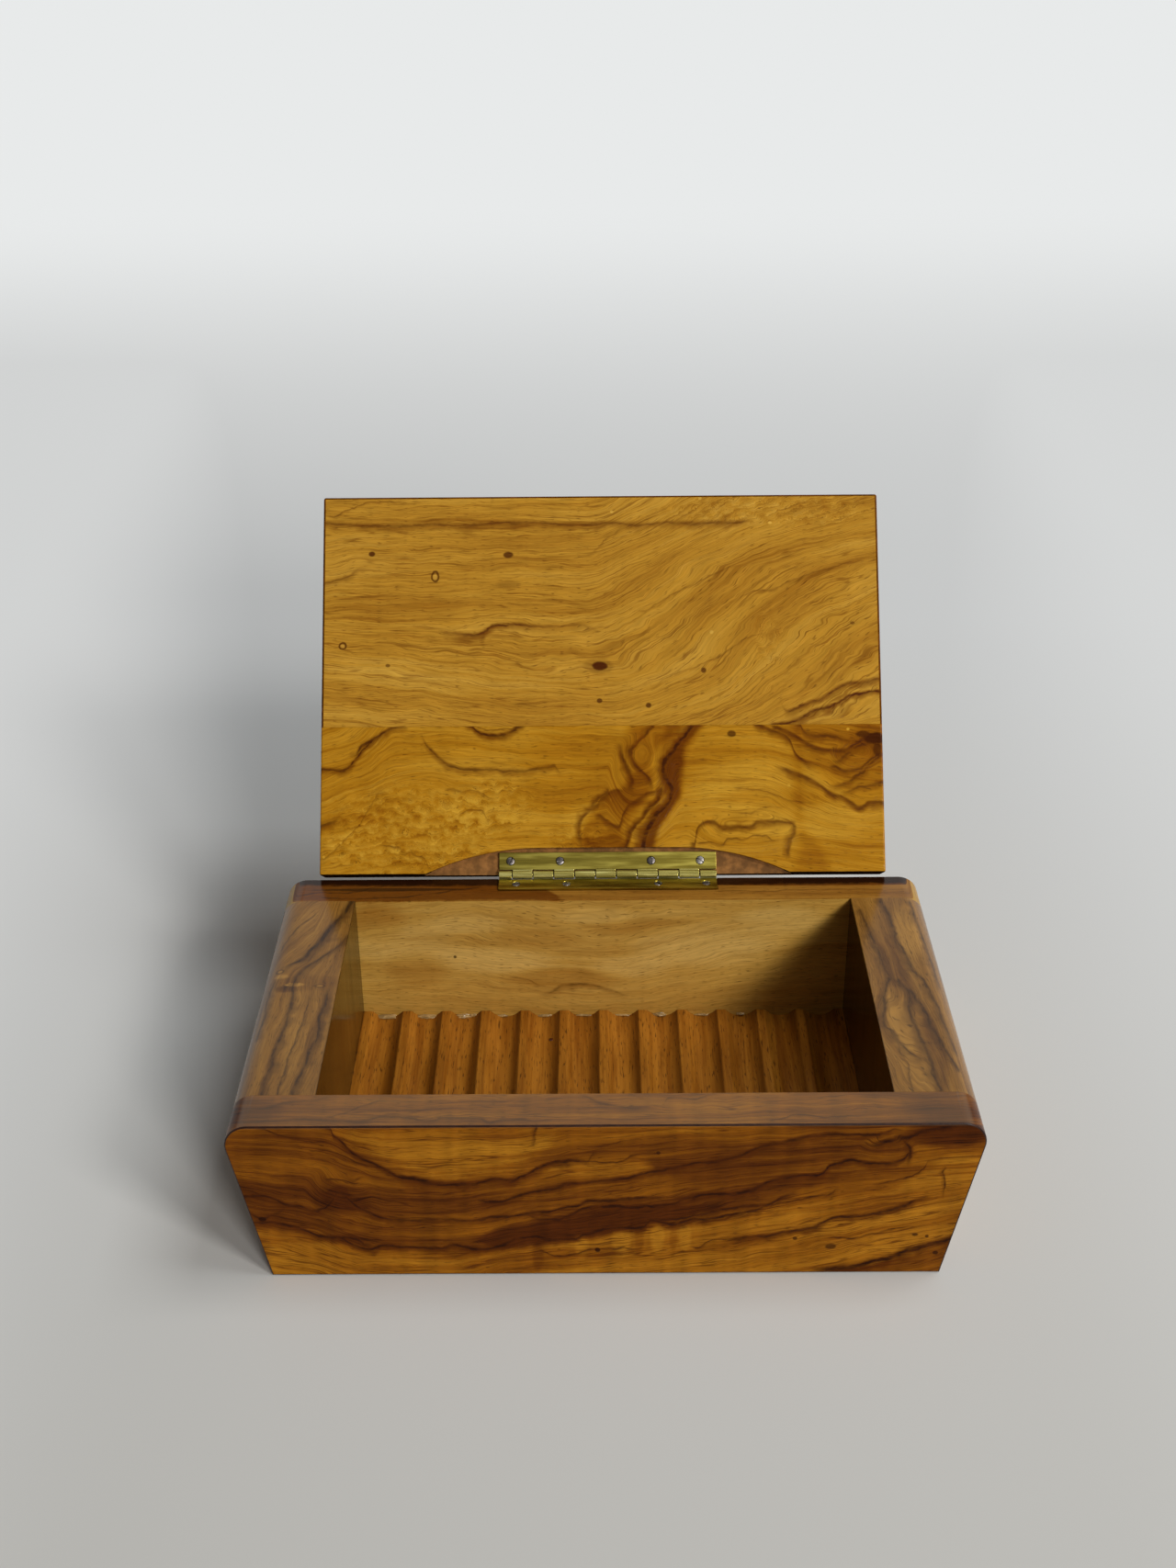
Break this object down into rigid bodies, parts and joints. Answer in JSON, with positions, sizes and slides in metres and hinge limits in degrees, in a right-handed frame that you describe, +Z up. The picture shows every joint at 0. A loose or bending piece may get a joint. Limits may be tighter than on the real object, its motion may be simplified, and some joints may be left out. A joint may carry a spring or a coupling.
{
  "type": "cigarette box",
  "caption": "Low wooden table box with outward-leaning ends, a grooved floor for loose cigarettes, and a flat lid that stands open on a narrow knuckle hinge.",
  "frame": {"origin": "middle of the flat underside of the box", "axes": "+Z up, front of the box at -Y, hinge along X at the top of the back (+Y); the lid stands open 125.6 degrees at rest"},
  "size_m": [0.1856, 0.1869, 0.1419],
  "materials": {
    "body_wood": "lacquered olive wood, amber with dark brown figure",
    "lid_wood": "lacquered olive wood, golden with burl and dark veins",
    "floor_wood": "straight-grained reddish brown wood, thin varnish",
    "hinge_brass": "rolled brass, tarnished",
    "screw_steel": "plated steel, slightly dull"
  },
  "bodies": {
    "box": {"front_board": "body_wood", "back_board": "body_wood", "left_end_block": "body_wood", "right_end_block": "body_wood", "grooved_floor": "floor_wood", "hinge_box_leaf": "hinge_brass", "hinge_pin": "hinge_brass", "hinge_box_screw_1": "screw_steel", "hinge_box_screw_2": "screw_steel", "hinge_box_screw_3": "screw_steel", "hinge_box_screw_4": "screw_steel"},
    "lid": {"lid_front_board": "lid_wood", "lid_rear_board": "lid_wood", "hinge_lid_leaf": "hinge_brass", "hinge_lid_screw_1": "screw_steel", "hinge_lid_screw_2": "screw_steel", "hinge_lid_screw_3": "screw_steel", "hinge_lid_screw_4": "screw_steel"}
  },
  "joints": [
    {"name": "lid_hinge", "type": "hinge", "parent": "box", "child": "lid", "pos_m": [0, 0.05715, 0.0488], "axis": [-1, 0, 0], "range_deg": [-125.6, 54.4]}
  ]
}
